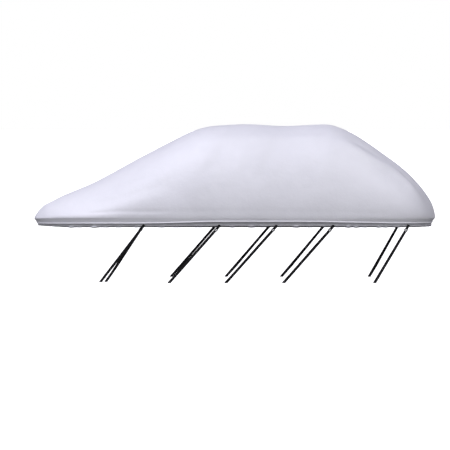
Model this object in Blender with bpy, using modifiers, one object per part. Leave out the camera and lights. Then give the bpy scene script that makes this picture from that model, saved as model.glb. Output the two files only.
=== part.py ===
# Fitted boat cover with ten tie-down loops: one sheet of cloth with a gathered hem, and for each
# loop a sewn tab, an adjuster buckle and a strap that goes round a side rail and back.
# The bow points to -X and the port side to -Y. The origin is under the cloth at the crown of the roof.

import math
from bisect import bisect_left, bisect_right
from functools import cache

import bmesh
import bpy
from mathutils import Matrix, Vector

# Driving sizes in metres. Stations are counted aft from the bow tip, heights up from the hem.
LENGTH = 4.546
HALF_BEAM = 0.980
WIDEST = 2.900            # station of the full beam
BOW_POWER = 1.85          # power of the plan's oval ahead of the full beam
STERN_POWER = 5.0         # and abaft it, nearly square
STERN_TAPER = 0.06        # share of the beam lost at the stern
CLOTH = 0.003
CROWN = 1.132             # height of the roof's outer face at mid-length
GAP = 0.0003              # between pieces that touch

# Height of the ridge over the centreline, before its two ends are rounded down: station, height
RIDGE = [
    (0.000, 0.192), (0.069, 0.209), (0.150, 0.236), (0.313, 0.318), (0.635, 0.452),
    (0.840, 0.556), (1.250, 0.779), (1.660, 0.991), (1.797, 1.055), (1.933, 1.099),
    (2.070, 1.121), (2.434, 1.136), (2.820, 1.119), (3.254, 1.134), (3.368, 1.130),
    (3.460, 1.104), (3.573, 1.057), (3.710, 0.980), (3.983, 0.790), (4.120, 0.690),
    (4.257, 0.574), (4.350, 0.476), (4.450, 0.372), (4.546, 0.305),
]
# Height of the gunwale edge, where the cloth turns under: station, height
GUNWALE = [(0.0, 0.083), (0.5, 0.098), (1.5, 0.106), (3.0, 0.100), (4.546, 0.082)]
# Roundness of the cross-section: station, power across, power upwards
SECTION = [
    (0.0, 2.00, 1.15), (0.6, 2.00, 1.12), (1.2, 2.15, 1.30), (1.8, 2.40, 1.55),
    (2.4, 2.60, 1.70), (3.4, 2.70, 1.75), (4.546, 2.90, 1.80),
]
SPINE = (0.150, 4.350)    # stations where the ridge ends and the ribs fan out

# Soft hollows in the sides: station, share of the way up the rib, reach along, reach up, depth
HOLLOWS = [
    (1.45, 0.30, 0.30, 0.16, 0.010), (2.25, 0.42, 0.22, 0.22, 0.009),
    (2.90, 0.36, 0.24, 0.20, 0.011), (3.55, 0.34, 0.20, 0.20, 0.008),
    (2.84, 0.88, 0.26, 0.16, 0.003), (0.95, 0.55, 0.24, 0.20, 0.007),
]
STARBOARD_SHIFT = 0.07    # the same hollows lie a little further aft on the other side

# Skirt below the gunwale edge: inward and height at the bow, then inward and height from amidships aft
SKIRT = [
    (0.012, 0.072, 0.006, 0.086),
    (0.027, 0.046, 0.016, 0.071),
    (0.032, 0.036, 0.023, 0.063),
    (0.034, 0.027, 0.026, 0.052),
]
# The gathered hem below the skirt's fold: the same columns, and how far the ruffles move the row
HEM = [
    (0.048, 0.020, 0.046, 0.038, 0.3),
    (0.042, 0.011, 0.040, 0.020, 1.0),
    (0.048, 0.001, 0.046, 0.003, 0.7),
    (0.056, 0.006, 0.055, 0.009, 0.5),
]
SKIRT_BLEND = (0.30, 1.60)
RUFFLE = 0.006            # how far a ruffle stands out or in
HEM_WAVE = 0.004          # how far the hem's edge rises and falls
UNEVEN = (0.38, 2.3, 0.71, 1.7)   # of the ruffles: share, two paces from gather to gather, side's shift
TAB_SEAT = 0.044          # inward, of the flat stretch of hem behind a tab
FLAT_REACH = 0.099        # from a tab's middle to where that stretch ends, along the hem
NEAR_SEAT = 0.050         # from the hem to the seat that it belongs to, at most

SIDE_COLUMNS = 40
HEM_SPLIT = 3             # hem columns for each column of the dome
DOME_ROWS = 12
TURN_SHARE = 0.30         # metres of girth that one radian of turn counts for, in the columns' spacing
RAY_STEPS = 3000
RAY_STEP = 0.001          # radians, between the points that give the plan's direction
MERGE = 0.00001

# Webbing and buckles
WEB_WIDTH = 0.030
WEB = 0.002
TAB_TOP = 0.018           # height of the tab's upper end
HEM_LOW = -0.013          # height at which the tab leaves the hem
LAYER_GAP = 0.0005        # between the tab's two layers
BUCKLE_DROP = 0.030       # from the hem's edge down to the buckle's middle
BUCKLE = (0.0395, 0.032, 0.004)
BUCKLE_CORNER = 0.004
SLOT = (0.0315, 0.0058)
SLOT_OFFSET = 0.0091      # from the buckle's middle to a slot's middle
BAR_OFFSET = 0.014        # and to the middle of an outer bar
LOOP_RADIUS = 0.0042      # of the webbing's middle round a bar
BEND_STEP = math.radians(30)
WHOLE_STEPS = 0.01        # of a step, that an arc may be over a whole number of them

# The rail that a strap goes round
RAIL_WIDTH = 0.060
RAIL_DEPTH = 0.125
RAIL_UNDER = -0.633       # height of its underside
RAIL_CORNER = 0.005

# Straps from the bow aft: station at the hem, station at the rail, rail's outer face, inner leg's lead
STRAPS = [
    (1.237, 0.775, 0.520, 0.060),
    (2.085, 1.550, 0.750, 0.0),
    (2.723, 2.185, 0.750, 0.0),
    (3.357, 2.829, 0.750, 0.0),
    (4.216, 3.847, 0.740, 0.0),
]
SIDES = {"port": -1, "starboard": 1}
MID = LENGTH / 2
UNDER_CROWN = CROWN - CLOTH
DOWN = Vector((0, 0, -1))
AFT = Vector((1, 0, 0))


def read(table, station, column=1):
    """The value of a table's column at a station, on a smooth curve through the rows."""
    stations = [row[0] for row in table]
    station = min(max(station, stations[0]), stations[-1])
    first = min(bisect_right(stations, station) - 1, len(table) - 2)

    def slope(row):
        before, after = max(row - 1, 0), min(row + 1, len(table) - 1)
        rise = table[after][column] - table[before][column]
        return rise / (stations[after] - stations[before])

    span = stations[first + 1] - stations[first]
    part = (station - stations[first]) / span
    eased = part * part * (3 - 2 * part)
    start, end = table[first][column], table[first + 1][column]
    bend = slope(first) * (1 - part) ** 2 * part - slope(first + 1) * part**2 * (1 - part)
    return start + (end - start) * eased + bend * span


def outline(ray):
    """A point of the gunwale's plan on a ray from the widest station: 0 is the bow, pi the stern."""
    ahead, across = math.cos(ray), math.sin(ray)
    reach, power = (WIDEST, BOW_POWER) if ahead > 0 else (LENGTH - WIDEST, STERN_POWER)
    radius = ((abs(ahead) / reach) ** power + (across / HALF_BEAM) ** power) ** (-1 / power)
    taper = 1 - STERN_TAPER * min(0, ahead * radius / reach) ** 2
    return Vector((WIDEST - radius * ahead, radius * across * taper))


def outward(ray):
    """The plan's unit normal at a ray, away from the boat."""
    along = outline(min(ray + RAY_STEP, math.pi)) - outline(max(ray - RAY_STEP, 0))
    if ray <= 0 or ray >= math.pi:
        return Vector((-1 if ray <= 0 else 1, 0))
    return Vector((-along.y, along.x)).normalized()


@cache
def column_rays():
    """Rays of the columns along one side, closer where the plan turns, one of them at each strap."""
    rays = [math.pi * step / RAY_STEPS for step in range(RAY_STEPS + 1)]
    points = [outline(ray) for ray in rays]
    course = [0.0]
    heading = math.pi / 2
    for before, after in zip(points, points[1:]):
        leg = after - before
        turned = abs(math.atan2(leg.y, leg.x) - heading)
        heading = math.atan2(leg.y, leg.x)
        course.append(course[-1] + leg.length + TURN_SHARE * turned)
    at_straps = [
        course[next(k for k, point in enumerate(points) if point.x >= strap[0])] for strap in STRAPS
    ]
    stops = [0.0] + at_straps + [course[-1]]
    places = [0.0]
    for start, end in zip(stops, stops[1:]):
        count = round(SIDE_COLUMNS * (end - start) / course[-1])
        places += [start + (end - start) * (k + 1) / count for k in range(count)]
    return [rays[min(bisect_left(course, place), RAY_STEPS)] for place in places]


def dome_point(ray, side, rise):
    """A point of the smooth dome, 0 at the gunwale edge and 1 at the ridge."""
    edge = outline(ray)
    spine = min(max(edge.x, SPINE[0]), SPINE[1])
    turn = rise * math.pi / 2
    out = math.cos(turn) ** (2 / read(SECTION, edge.x, 1))
    up = math.sin(turn) ** (2 / read(SECTION, edge.x, 2))
    station = spine + (edge.x - spine) * out
    low = read(GUNWALE, edge.x)
    return Vector((station, side * edge.y * out, low + (read(RIDGE, station) - low) * up))


def draped_point(ray, side, rise):
    """The same point with the cloth's soft hollows."""
    point = dome_point(ray, side, rise)
    shift = STARBOARD_SHIFT if side > 0 else 0.0
    sink = sum(
        depth * math.exp(-(((point.x - shift - at) / along) ** 2) - ((rise - share) / up) ** 2)
        for at, share, along, up, depth in HOLLOWS
    )
    inside = Vector((point.x, 0, CROWN / 2)) - point
    return point + inside.normalized() * sink


def tucked_point(ray, side, row, wave=0.0):
    """A point of the skirt or the hem, in from the gunwale edge."""
    edge = outline(ray)
    start, end = SKIRT_BLEND
    blend = min(max((edge.x - start) / (end - start), 0), 1)
    inward = row[0] + (row[2] - row[0]) * blend
    height = row[1] + (row[3] - row[1]) * blend
    point = edge - outward(ray) * (inward - RUFFLE * wave)
    return Vector((point.x, side * point.y, height))


def seat_frame(strap, side):
    """Middle, direction aft and outward normal of the flat stretch of hem behind a tab."""
    ray = min(column_rays(), key=lambda candidate: abs(outline(candidate).x - strap[0]))
    middle = outline(ray) - outward(ray) * TAB_SEAT
    away = outward(ray)
    normal = Vector((away.x, side * away.y, 0))
    return Vector((middle.x, side * middle.y, 0)), Vector((away.y, -side * away.x, 0)), normal


def ruffle(column, side):
    """How far a hem column stands out (1) or in (-1), uneven from one gather to the next."""
    share, pace, slow_pace, shift = UNEVEN
    strength = 1 - share + share * math.sin(pace * column + shift * side) * math.cos(slow_pace * column)
    return strength if column % 2 else -strength


def new_object(name, mesh, material):
    thing = bpy.data.objects.new(name, mesh)
    mesh.materials.append(material)
    COLLECTION.objects.link(thing)
    return thing


def framed(point):
    """From stations and heights to the frame of the whole cover."""
    return Vector((point.x - MID, point.y, point.z - UNDER_CROWN))


def ring_columns(rays):
    """Ray and side of each column right round the cover: bow, starboard, stern, port."""
    there = [(ray, 1) for ray in rays]
    back = [(ray, -1) for ray in reversed(rays[1:-1])]
    return there + back


def hem_columns(ring):
    """The ring's columns with others between them."""
    finer = []
    for (ray, side), (next_ray, next_side) in zip(ring, ring[1:] + ring[:1]):
        # the column at the bow or the stern counts for the side that the ring is on there
        here = next_side if ray in (0.0, math.pi) else side
        for split in range(HEM_SPLIT):
            finer.append((ray + (next_ray - ray) * split / HEM_SPLIT, here))
    return finer


def hem_rows(columns):
    """Points of the gathered hem, flat where a tab is sewn on."""
    seats = [(*seat_frame(strap, side), side) for strap in STRAPS for side in SIDES.values()]
    rows = []
    for row in HEM:
        points = []
        for number, (ray, side) in enumerate(columns):
            wave = ruffle(number, side) * row[4]
            point = tucked_point(ray, side, row, wave)
            if row is not HEM[0]:
                point.z += HEM_WAVE * wave
            for middle, along, normal, seat_side in seats:
                offset = (point - middle).dot(along)
                near = abs(offset) < FLAT_REACH and abs((point - middle).dot(normal)) < NEAR_SEAT
                if near and side == seat_side:
                    flat = tucked_point(ray, side, row)
                    inward = flat.z if row is HEM[-1] else 0
                    point = middle + along * offset - normal * inward
                    point.z = flat.z
            points.append(point)
        rows.append(points)
    return rows


def make_cover(material):
    """The cloth: a dome of ribs from the ridge to the gunwale edge, the skirt and the gathered hem."""
    ring = ring_columns(column_rays())
    rows = [
        [draped_point(ray, side, 1 - row / DOME_ROWS) for ray, side in ring] for row in range(DOME_ROWS + 1)
    ]
    rows += [[tucked_point(ray, side, row) for ray, side in ring] for row in SKIRT]
    fine = hem_rows(hem_columns(ring))

    sheet = bmesh.new()
    coarse = [[sheet.verts.new(framed(point)) for point in row] for row in rows]
    hem = [[sheet.verts.new(framed(point)) for point in row] for row in fine]
    for grid in (coarse, hem):
        for above, below in zip(grid, grid[1:]):
            for k in range(len(above)):
                after = (k + 1) % len(above)
                sheet.faces.new((above[k], above[after], below[after], below[k]))
    for k, corner in enumerate(coarse[-1]):
        next_corner = coarse[-1][(k + 1) % len(ring)]
        below = [hem[0][(HEM_SPLIT * k + split) % len(hem[0])] for split in range(HEM_SPLIT + 1)]
        sheet.faces.new((corner, below[1], below[0]))
        sheet.faces.new((corner, next_corner, below[2], below[1]))
        sheet.faces.new((next_corner, below[3], below[2]))
    bmesh.ops.remove_doubles(sheet, verts=sheet.verts, dist=MERGE)
    mesh = bpy.data.meshes.new("cover")
    sheet.to_mesh(mesh)
    sheet.free()
    mesh.shade_smooth()
    cover = new_object("cover", mesh, material)
    wall = cover.modifiers.new("cloth", "SOLIDIFY")
    wall.thickness = CLOTH
    wall.offset = -1
    wall.use_even_offset = True
    return cover


def make_strip(name, rows, closed, material):
    """A flat band through rows of (middle, half width as a vector), closed on itself or with two ends."""
    band = bmesh.new()
    sections = []
    for k, (middle, half_width) in enumerate(rows):
        before = rows[k - 1][0] if closed or k else middle
        after = rows[(k + 1) % len(rows)][0] if closed or k + 1 < len(rows) else middle
        half_depth = half_width.cross(after - before).normalized() * WEB / 2
        corners = (half_width + half_depth, half_width - half_depth, -half_width - half_depth,
                   half_depth - half_width)
        sections.append([band.verts.new(framed(middle + corner)) for corner in corners])
    pairs = list(zip(sections, sections[1:]))
    if closed:
        pairs.append((sections[-1], sections[0]))
    else:
        band.faces.new(sections[0])
        band.faces.new(list(reversed(sections[-1])))
    for near, far in pairs:
        for k in range(4):
            band.faces.new((near[k], near[(k + 1) % 4], far[(k + 1) % 4], far[k]))
    bmesh.ops.recalc_face_normals(band, faces=band.faces)
    bmesh.ops.triangulate(band, faces=band.faces, quad_method="SHORT_EDGE")
    mesh = bpy.data.meshes.new(name)
    band.to_mesh(mesh)
    band.free()
    return new_object(name, mesh, material)


def strap_frame(strap, side):
    """Where a strap hangs: its top and foot, and the directions down it, across it and out of it."""
    hem_station, rail_station, rail_face, lead = strap
    middle, along, normal = seat_frame(strap, side)
    layers = GAP + WEB + LAYER_GAP / 2
    top = middle + normal * layers + Vector((0, 0, HEM_LOW))
    foot = Vector((rail_station, side * (rail_face + WEB / 2), RAIL_UNDER))
    down = (foot - top).normalized()
    across = (AFT - down * AFT.dot(down)).normalized()
    out = across.cross(down)
    if out.y * side < 0:
        out = -out
    return {
        "top": top, "foot": foot, "down": down, "across": across, "out": out,
        "slant": (foot.x - top.x) / (foot.z - top.z), "side": side, "lead": lead,
        "seat": (middle, along, normal), "buckle": top + down * BUCKLE_DROP,
    }


def bend(middle, start, end, radius, first, second):
    """Points of an arc from one angle to another, with 0 along the first direction."""
    count = max(2, math.ceil(abs(end - start) / BEND_STEP - WHOLE_STEPS))
    angles = [start + (end - start) * k / count for k in range(count + 1)]
    return [middle + first * radius * math.cos(a) + second * radius * math.sin(a) for a in angles]


def make_tab(name, frame, material):
    """Two layers of webbing on the hem, which part below it to go round the buckle's upper bar."""
    middle, along, normal = frame["seat"]
    bar = frame["buckle"] - frame["down"] * BAR_OFFSET
    slanted = (Vector((0, 0, 1)) + along * frame["slant"] / along.x).normalized()
    half_on_hem = (along - slanted * along.dot(slanted)).normalized() * WEB_WIDTH / 2
    half_at_bar = frame["across"] * WEB_WIDTH / 2
    loop = bend(bar, -math.pi / 2, math.pi / 2, LOOP_RADIUS, frame["down"], frame["out"])

    def on_hem(height, layer):
        lift = GAP + WEB / 2 + layer * (WEB + LAYER_GAP)
        rise = slanted * (height - HEM_LOW) / slanted.z
        return middle + normal * lift + Vector((0, 0, HEM_LOW)) + rise, half_on_hem

    rows = [on_hem(TAB_TOP, 0), on_hem(HEM_LOW, 0)]
    rows += [(point, half_at_bar) for point in loop]
    rows += [on_hem(HEM_LOW, 1), on_hem(TAB_TOP, 1)]
    return make_strip(name, rows, False, material)


def make_strap(name, frame, material):
    """The loop: over the buckle's lower bar, down inside the rail, under it and up its outer side."""
    side = frame["side"]
    foot, down, out = frame["foot"], frame["down"], frame["out"]
    bar = frame["buckle"] + down * BAR_OFFSET
    level_half = AFT * WEB_WIDTH / 2
    slanted_half = AFT * WEB_WIDTH / 2 / math.sqrt(1 - down.x**2)
    bar_half = frame["across"] * WEB_WIDTH / 2

    over_bar = bend(bar, math.pi / 2, -math.pi / 2, LOOP_RADIUS, -down, out)
    outer_face = abs(foot.y)
    inner_face = outer_face - RAIL_WIDTH - WEB
    low = RAIL_UNDER - WEB / 2
    rise = RAIL_CORNER + WEB / 2
    inner_top = over_bar[-1]
    rail_top = RAIL_UNDER + RAIL_DEPTH
    slant_in = (inner_top.x - foot.x - frame["lead"]) / (inner_top.z - low)

    def inner(height):
        station = foot.x + frame["lead"] + slant_in * (height - low)
        return Vector((station, side * inner_face, height))

    def corner(face, lead, start, end, inward):
        middle = Vector((foot.x + lead, side * (face + inward * rise), low + rise))
        return bend(middle, start, end, rise, Vector((0, -side * inward, 0)), DOWN)

    lean = math.atan2(abs((bar + out * LOOP_RADIUS).y) - outer_face, bar.z - low)
    inner_corner = corner(inner_face, frame["lead"], 0, math.pi / 2, 1)
    outer_corner = corner(outer_face, 0.0, math.pi / 2, lean, -1)

    rows = [(point, bar_half) for point in over_bar]
    rows += [(inner(rail_top), slanted_half)]
    for number, point in enumerate(inner_corner):
        rows.append((point, slanted_half.lerp(level_half, number / (len(inner_corner) - 1))))
    for number, point in enumerate(outer_corner):
        rows.append((point, level_half.lerp(slanted_half, number / (len(outer_corner) - 1))))
    return make_strip(name, rows, True, material)


def make_buckle(name, frame, material):
    """A flat frame with two slots, one for the tab and one for the strap."""
    width, height, depth = BUCKLE
    cut = BUCKLE_CORNER
    plan = bpy.data.curves.new(name, "CURVE")
    plan.dimensions = "2D"
    plan.fill_mode = "BOTH"
    plan.extrude = depth / 2
    corners = []
    for across, up in ((1, 1), (-1, 1), (-1, -1), (1, -1)):
        ends = [(width / 2, height / 2 - cut), (width / 2 - cut, height / 2)]
        for end in ends if across * up > 0 else reversed(ends):
            corners.append((across * end[0], up * end[1]))
    outlines = [corners]
    for offset in (SLOT_OFFSET, -SLOT_OFFSET):
        half_width, half_height = SLOT[0] / 2, SLOT[1] / 2
        outlines.append([
            (half_width, offset + half_height), (-half_width, offset + half_height),
            (-half_width, offset - half_height), (half_width, offset - half_height),
        ])
    for points in outlines:
        spline = plan.splines.new("POLY")
        spline.points.add(len(points) - 1)
        for point, (across, up) in zip(spline.points, points):
            point.co = (across, up, 0, 1)
        spline.use_cyclic_u = True
    plan.materials.append(material)
    buckle = bpy.data.objects.new(name, plan)
    up, out = -frame["down"], frame["out"]
    turned = Matrix((up.cross(out), up, out)).transposed().to_4x4()
    buckle.matrix_world = Matrix.Translation(framed(frame["buckle"])) @ turned
    COLLECTION.objects.link(buckle)
    return buckle


def make_material(name, colour, roughness):
    material = bpy.data.materials.new(name)
    material.use_nodes = True
    shader = material.node_tree.nodes["Principled BSDF"]
    shader.inputs["Base Color"].default_value = (*colour, 1)
    shader.inputs["Roughness"].default_value = roughness
    shader.inputs["Metallic"].default_value = 0.0
    return material


for old in list(bpy.data.objects):
    bpy.data.objects.remove(old, do_unlink=True)
COLLECTION = bpy.data.collections.new("boat cover")
bpy.context.scene.collection.children.link(COLLECTION)

cover_cloth = make_material("cover cloth", (0.66, 0.66, 0.72), 0.55)
make_cover(cover_cloth)
for side_name, side_sign in SIDES.items():
    for index, strap_row in enumerate(STRAPS, start=1):
        hang = strap_frame(strap_row, side_sign)
        label = f"{side_name}_{index}"
        make_tab(f"tab_{label}", hang, make_material(f"tab webbing {label}", (0.02, 0.02, 0.022), 0.8))
        make_buckle(f"buckle_{label}", hang, make_material(f"buckle {label}", (0.015, 0.015, 0.017), 0.4))
        make_strap(f"strap_{label}", hang, make_material(f"webbing {label}", (0.02, 0.02, 0.022), 0.8))
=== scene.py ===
import math
import random
from bisect import bisect_right

import bmesh
import bpy
import numpy as np
from mathutils import Matrix, Vector, noise


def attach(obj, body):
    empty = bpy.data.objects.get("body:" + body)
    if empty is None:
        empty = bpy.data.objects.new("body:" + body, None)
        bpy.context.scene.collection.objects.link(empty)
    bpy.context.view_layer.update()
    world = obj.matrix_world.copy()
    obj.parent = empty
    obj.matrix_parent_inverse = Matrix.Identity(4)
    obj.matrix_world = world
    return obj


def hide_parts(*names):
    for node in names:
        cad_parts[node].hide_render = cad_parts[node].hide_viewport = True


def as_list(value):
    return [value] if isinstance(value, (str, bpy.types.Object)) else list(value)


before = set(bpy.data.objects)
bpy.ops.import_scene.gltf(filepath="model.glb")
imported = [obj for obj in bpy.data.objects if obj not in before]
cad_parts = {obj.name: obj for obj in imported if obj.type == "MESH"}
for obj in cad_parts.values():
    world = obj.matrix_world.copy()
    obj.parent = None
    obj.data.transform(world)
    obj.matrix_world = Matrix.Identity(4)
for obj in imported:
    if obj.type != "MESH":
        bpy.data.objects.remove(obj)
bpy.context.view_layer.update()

print("frame loaded,", len(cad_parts), "pieces")


# shader maths

class Wire:
    # an output in a tree: sums and products of wires add Math nodes
    def __init__(self, nodes, socket):
        self.nodes = nodes
        self.socket = socket

    def calc(self, operation, *values):
        return self.nodes.add("ShaderNodeMath", {"operation": operation}, values)

    def __add__(self, other):
        return self.calc("ADD", self, other)

    def __radd__(self, other):
        return self.calc("ADD", other, self)

    def __mul__(self, other):
        return self.calc("MULTIPLY", self, other)

    def __rmul__(self, other):
        return self.calc("MULTIPLY", other, self)

    def sine(self):
        return self.calc("SINE", self)

    def size(self):
        return self.calc("ABSOLUTE", self)

    def between(self, low, high):
        sockets = {"Value": self, "From Min": low, "From Max": high}
        return self.nodes.add("ShaderNodeMapRange", {"interpolation_type": "SMOOTHSTEP"}, sockets)


class Nodes:
    # add() makes any node: its settings first, then the values or wires of its sockets
    def __init__(self, tree):
        self.tree = tree

    def add(self, kind, settings=None, sockets=(), output=0):
        node = self.tree.nodes.new(kind)
        for name, value in (settings or {}).items():
            setattr(node, name, value)
        pairs = sockets.items() if isinstance(sockets, dict) else enumerate(sockets)
        for key, value in pairs:
            self.feed(node.inputs[key], value)
        return Wire(self, node.outputs[output])

    def feed(self, socket, value):
        if isinstance(value, Wire):
            self.tree.links.new(value.socket, socket)
        else:
            socket.default_value = value

    def mix(self, share, first, second):
        sockets = {0: share, 6: first, 7: second}
        return self.add("ShaderNodeMix", {"data_type": "RGBA"}, sockets, output=2)


class Finish(Nodes):
    # one material, with what its maps need
    def __init__(self, name, fixed):
        self.data = bpy.data.materials.new(name)
        self.data.use_nodes = True
        super().__init__(self.data.node_tree)
        self.shader = self.tree.nodes["Principled BSDF"]
        for socket, value in fixed.items():
            self.shader.inputs[socket].default_value = value

    def give(self, socket, value):
        self.feed(self.shader.inputs[socket], value)

    def place(self, kind="Object"):
        return self.add("ShaderNodeTexCoord", output=kind)

    def parts(self, vector):
        return [self.add("ShaderNodeSeparateXYZ", None, [vector], output=k) for k in range(3)]

    def cloud(self, vector, scale, detail=2, roughness=0.5):
        sockets = {"Vector": vector, "Scale": scale, "Detail": detail, "Roughness": roughness}
        return self.add("ShaderNodeTexNoise", None, sockets)

    def stretch(self, vector, scale):
        return self.add("ShaderNodeMapping", None, {"Vector": vector, "Scale": scale})

    def bump(self, height, distance, under=None):
        sockets = {"Height": height, "Distance": distance}
        if under is not None:
            sockets["Normal"] = under
        return self.add("ShaderNodeBump", None, sockets)


class Growth(Nodes):
    # one Geometry Nodes tree, with a named input for each value
    def __init__(self, name, values):
        self.data = bpy.data.node_groups.new(name, "GeometryNodeTree")
        super().__init__(self.data)
        self.data.interface.new_socket("Geometry", in_out="INPUT", socket_type="NodeSocketGeometry")
        self.data.interface.new_socket("Geometry", in_out="OUTPUT", socket_type="NodeSocketGeometry")
        self.values = values
        for label in values:
            kind = "NodeSocketMaterial" if label == "finish" else "NodeSocketFloat"
            self.data.interface.new_socket(label, in_out="INPUT", socket_type=kind)
        self.source = self.tree.nodes.new("NodeGroupInput")

    def given(self, label):
        return Wire(self, self.source.outputs[label])

    def alongLines(self, spacing):
        # a point every so often on the guide's lines
        line = self.add("GeometryNodeMeshToCurve", None, [self.given("Geometry")])
        sockets = {"Curve": line, "Length": self.given(spacing)}
        return self.add("GeometryNodeResampleCurve", {"mode": "LENGTH"}, sockets)

    def plant(self, points, thing, rotation):
        sockets = {"Points": points, "Instance": thing, "Rotation": rotation}
        self.close(self.add("GeometryNodeInstanceOnPoints", None, sockets))

    def close(self, geometry):
        whole = self.add("GeometryNodeRealizeInstances", None, [geometry])
        sockets = {"Geometry": whole, "Material": self.given("finish")}
        dressed = self.add("GeometryNodeSetMaterial", None, sockets)
        end = self.tree.nodes.new("NodeGroupOutput")
        self.feed(end.inputs[0], dressed)

    def grow(self, name, guide):
        # runs the tree on the guide's mesh, and keeps the result as a plain mesh
        step = guide.modifiers.new(name, "NODES")
        step.node_group = self.data
        for item in self.data.interface.items_tree:
            if item.in_out == "INPUT" and item.name in self.values:
                step[item.identifier] = self.values[item.name]
        return newPiece(name, takeMesh(name, guide), self.values["finish"])


def newObject(name, data):
    thing = bpy.data.objects.new(name, data)
    bpy.context.scene.collection.objects.link(thing)
    return thing


def takeMesh(name, source):
    # the plain mesh that an object's curve or modifiers give, in place of the object
    depsgraph = bpy.context.evaluated_depsgraph_get()
    data = bpy.data.meshes.new_from_object(source.evaluated_get(depsgraph))
    bpy.data.objects.remove(source)
    data.name = name
    return data


def newPiece(name, data, finish):
    if not data.materials:
        data.materials.append(finish)
    return newObject(name, data)


def pieceFrom(mesh, name, finish):
    data = bpy.data.meshes.new(name)
    mesh.to_mesh(data)
    mesh.free()
    return newPiece(name, data, finish)


# the cover's plan, ridge and ribs, in metres: stations run aft from the bow tip, heights up from the hem

shape = {
    "length": 4.546,
    "halfBeam": 0.980,
    "widest": 2.900,
    "bowPower": 1.85,
    "sternPower": 5.0,
    "sternTaper": 0.06,
    "underCrown": 1.129,            # from the hem up to the frame's origin
    "spine": (0.150, 4.350),        # the ridge runs between these stations
    "ridge": [
        (0.000, 0.192), (0.069, 0.209), (0.150, 0.236), (0.313, 0.318), (0.635, 0.452),
        (0.840, 0.556), (1.250, 0.779), (1.660, 0.991), (1.797, 1.055), (1.933, 1.099),
        (2.070, 1.121), (2.434, 1.136), (2.820, 1.119), (3.254, 1.134), (3.368, 1.130),
        (3.460, 1.104), (3.573, 1.057), (3.710, 0.980), (3.983, 0.790), (4.120, 0.690),
        (4.257, 0.574), (4.350, 0.476), (4.450, 0.372), (4.546, 0.305),
    ],
    "gunwale": [
        (0.0, 0.070), (0.165, 0.0787), (0.365, 0.0835), (0.565, 0.0867), (0.787, 0.0905), (1.12, 0.0953),
        (1.60, 0.100), (3.00, 0.100), (4.00, 0.095), (4.546, 0.086),
    ],
    # station, roundness across, roundness upwards
    "section": [
        (0.0, 2.00, 1.15), (0.5, 2.00, 1.12), (0.8, 2.05, 1.26), (1.2, 2.28, 1.60), (1.6, 2.44, 1.74),
        (2.4, 2.60, 1.74), (3.4, 2.70, 1.75), (4.546, 2.90, 1.80),
    ],
    # soft hollows: station, share up the rib, reach along, reach up, depth
    "hollows": [
        (1.45, 0.30, 0.30, 0.16, 0.010), (2.25, 0.42, 0.22, 0.22, 0.009),
        (2.90, 0.36, 0.24, 0.20, 0.011), (3.55, 0.34, 0.20, 0.20, 0.008),
        (2.84, 0.88, 0.26, 0.16, 0.003), (0.95, 0.55, 0.24, 0.20, 0.007),
    ],
    "starboardShift": 0.07,         # hollows, folds and bulges lie this much further aft on that side
    "shiftEnds": 3.4,               # the folds' shift fades out over the metre ahead of this station
}


def eased(part):
    return part * part * (3 - 2 * part)


def readTable(table, place, column=1):
    # a smooth curve through the rows
    places = [row[0] for row in table]
    place = min(max(place, places[0]), places[-1])
    first = min(bisect_right(places, place) - 1, len(table) - 2)

    def slope(row):
        before = max(row - 1, 0)
        after = min(row + 1, len(table) - 1)
        return (table[after][column] - table[before][column]) / (places[after] - places[before])

    span = places[first + 1] - places[first]
    part = (place - places[first]) / span
    start = table[first][column]
    end = table[first + 1][column]
    bend = slope(first) * (1 - part) ** 2 * part - slope(first + 1) * part**2 * (1 - part)
    return start + (end - start) * eased(part) + bend * span


def easeStep(low, high, value):
    return eased(min(max((value - low) / (high - low), 0), 1))


def planPoint(ray):
    # on the gunwale edge, seen from above: ray 0 is the bow and pi the stern
    ahead = math.cos(ray)
    across = math.sin(ray)
    reach = shape["widest"]
    power = shape["bowPower"]
    if ahead <= 0:
        reach = shape["length"] - shape["widest"]
        power = shape["sternPower"]
    radius = ((abs(ahead) / reach) ** power + (across / shape["halfBeam"]) ** power) ** (-1 / power)
    taper = 1 - shape["sternTaper"] * min(0, ahead * radius / reach) ** 2
    return Vector((shape["widest"] - radius * ahead, radius * across * taper))


def planOut(ray):
    # square to the gunwale edge, seen from above
    if ray <= 0 or ray >= math.pi:
        return Vector((-1 if ray <= 0 else 1, 0))
    step = 0.001
    along = planPoint(min(ray + step, math.pi)) - planPoint(max(ray - step, 0))
    return Vector((-along.y, along.x)).normalized()


def halve(low, high, tooLow, halvings=40):
    # the place between low and high up to which tooLow holds
    for _ in range(halvings):
        middle = (low + high) / 2
        if tooLow(middle):
            low = middle
        else:
            high = middle
    return (low + high) / 2


def rayAt(station):
    return halve(0.0, math.pi, lambda ray: planPoint(ray).x < station)


def domePoint(ray, side, rise):
    # rise 0 is the gunwale edge and 1 the ridge
    edge = planPoint(ray)
    spine = min(max(edge.x, shape["spine"][0]), shape["spine"][1])
    turn = rise * math.pi / 2
    out = math.cos(turn) ** (2 / readTable(shape["section"], edge.x, 1))
    up = math.sin(turn) ** (2 / readTable(shape["section"], edge.x, 2))
    station = spine + (edge.x - spine) * out
    low = readTable(shape["gunwale"], edge.x)
    point = Vector((station, side * edge.y * out, low + (readTable(shape["ridge"], station) - low) * up))
    shift = shape["starboardShift"] if side > 0 else 0.0
    sink = sum(
        depth * math.exp(-(((point.x - shift - at) / along) ** 2) - ((rise - share) / tall) ** 2)
        for at, share, along, tall, depth in shape["hollows"]
    )
    inside = Vector((point.x, 0, shape["underCrown"] / 2)) - point
    return point + inside.normalized() * sink


def placed(point):
    return Vector((point.x - shape["length"] / 2, point.y, point.z - shape["underCrown"]))


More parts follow.
